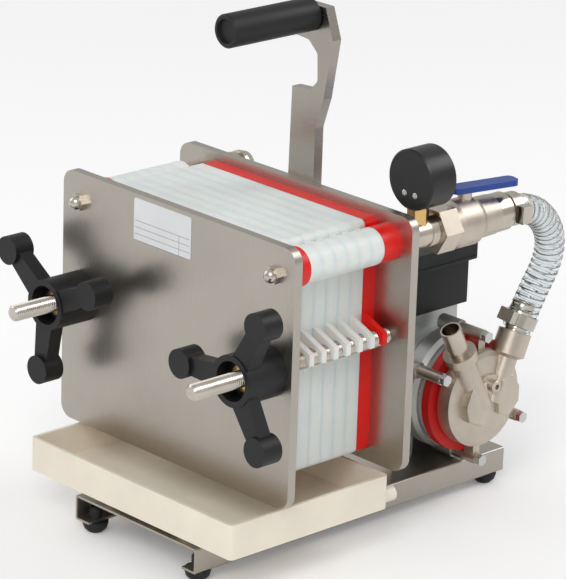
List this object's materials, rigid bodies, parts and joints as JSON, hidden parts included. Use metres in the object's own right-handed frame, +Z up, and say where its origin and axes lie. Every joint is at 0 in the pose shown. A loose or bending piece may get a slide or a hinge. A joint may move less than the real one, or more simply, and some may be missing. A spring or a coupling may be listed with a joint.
{
  "type": "plate filter press",
  "caption": "Small plate filter press with hand nuts, drip tray, feed pump, valve, gauge and carrying handle on a steel base.",
  "frame": {"origin": "on the floor, midway between the four feet", "axes": "+X to the right of a person facing the hand nuts, +Y from the hand nuts towards the motor, +Z up"},
  "size_m": [0.3308, 0.425, 0.449],
  "materials": {
    "stainless": "brushed stainless sheet and plate",
    "plated": "nickel-plated brass fittings",
    "brass": "plain brass",
    "filter_white": "translucent white polypropylene",
    "filter_red": "red moulded plastic",
    "tray_cream": "cream moulded plastic",
    "black_plastic": "black moulded plastic",
    "black_rubber": "black rubber",
    "black_paint": "satin black paint",
    "lever_blue": "blue plastic-dipped steel",
    "cast_alloy": "cast aluminium",
    "dial_white": "printed white dial",
    "gasket_red": "red rubber gasket",
    "hose_clear": "clear flexible hose with a wire spiral"
  },
  "bodies": {
    "frame": {"base_frame": "stainless", "feet": "black_rubber", "back_plate": "stainless", "back_bracket": "stainless", "tie_rod_left": "stainless", "tie_rod_right": "stainless", "rod_nuts": "stainless", "rear_end_plate": "filter_red", "handle_bar": "stainless", "handle_grip": "black_plastic", "outlet_pipe": "plated", "outlet_nut": "plated", "outlet_tail": "plated", "inlet_pipe": "plated", "gauge_adaptor": "brass", "gauge_case": "black_plastic", "gauge_dial": "dial_white", "union_nut": "plated", "valve_body": "plated", "hose_tail_top": "plated", "feed_hose": "hose_clear", "hose_clamps": "stainless", "hose_tail_bottom": "plated", "pump_head": "plated", "pump_nipple": "plated", "pump_gasket": "gasket_red", "pump_spacer": "cast_alloy", "pump_bolts": "stainless", "motor_flange": "cast_alloy", "motor_body": "cast_alloy", "fan_cover": "black_paint", "terminal_box": "black_plastic", "terminal_lid": "black_plastic"},
    "pressure_plate": {"front_plate": "stainless", "acorn_nuts": "stainless"},
    "hand_nut_left": {"hand_nut_left": "black_plastic", "thread_insert_left": "brass"},
    "hand_nut_right": {"hand_nut_right": "black_plastic", "thread_insert_right": "brass"},
    "end_plate": {"front_end_plate": "filter_white", "end_caps": "filter_red"},
    "filter_1": {"filter_plate_1": "filter_white"},
    "filter_2": {"filter_plate_2": "filter_white"},
    "filter_3": {"filter_plate_3": "filter_white"},
    "filter_4": {"filter_plate_4": "filter_white"},
    "filter_5": {"filter_plate_5": "filter_white"},
    "filter_6": {"filter_plate_6": "filter_white"},
    "tray": {"drip_tray": "tray_cream"},
    "lever": {"valve_lever": "lever_blue"}
  },
  "joints": [
    {"name": "press_slide", "type": "slide", "parent": "frame", "child": "pressure_plate", "axis": [0, -1, 0], "range_m": [0, 0.045]},
    {"name": "hand_nut_left_turn", "type": "hinge", "parent": "pressure_plate", "child": "hand_nut_left", "pos_m": [-0.114, -0.1625, 0.189], "axis": [0, -1, 0], "continuous": true},
    {"name": "hand_nut_right_turn", "type": "hinge", "parent": "pressure_plate", "child": "hand_nut_right", "pos_m": [0.114, -0.1625, 0.189], "axis": [0, -1, 0], "continuous": true},
    {"name": "end_plate_slide", "type": "slide", "parent": "frame", "child": "end_plate", "axis": [0, -1, 0], "range_m": [0, 0.03938]},
    {"name": "filter_1_slide", "type": "slide", "parent": "frame", "child": "filter_1", "axis": [0, -1, 0], "range_m": [0, 0.03375]},
    {"name": "filter_2_slide", "type": "slide", "parent": "frame", "child": "filter_2", "axis": [0, -1, 0], "range_m": [0, 0.02813]},
    {"name": "filter_3_slide", "type": "slide", "parent": "frame", "child": "filter_3", "axis": [0, -1, 0], "range_m": [0, 0.0225]},
    {"name": "filter_4_slide", "type": "slide", "parent": "frame", "child": "filter_4", "axis": [0, -1, 0], "range_m": [0, 0.01688]},
    {"name": "filter_5_slide", "type": "slide", "parent": "frame", "child": "filter_5", "axis": [0, -1, 0], "range_m": [0, 0.01125]},
    {"name": "filter_6_slide", "type": "slide", "parent": "frame", "child": "filter_6", "axis": [0, -1, 0], "range_m": [0, 0.00562]},
    {"name": "tray_slide", "type": "slide", "parent": "frame", "child": "tray", "axis": [0, -1, 0], "range_m": [0, 0.16]},
    {"name": "lever_turn", "type": "hinge", "parent": "frame", "child": "lever", "pos_m": [0.114, 0.0725, 0.298], "axis": [0, 0, -1], "range_deg": [-12, 78]}
  ],
  "couplings": [
    {"joint": "end_plate_slide", "follows": "press_slide", "ratio": 0.875},
    {"joint": "filter_1_slide", "follows": "press_slide", "ratio": 0.75},
    {"joint": "filter_2_slide", "follows": "press_slide", "ratio": 0.625},
    {"joint": "filter_3_slide", "follows": "press_slide", "ratio": 0.5},
    {"joint": "filter_4_slide", "follows": "press_slide", "ratio": 0.375},
    {"joint": "filter_5_slide", "follows": "press_slide", "ratio": 0.25},
    {"joint": "filter_6_slide", "follows": "press_slide", "ratio": 0.125}
  ]
}
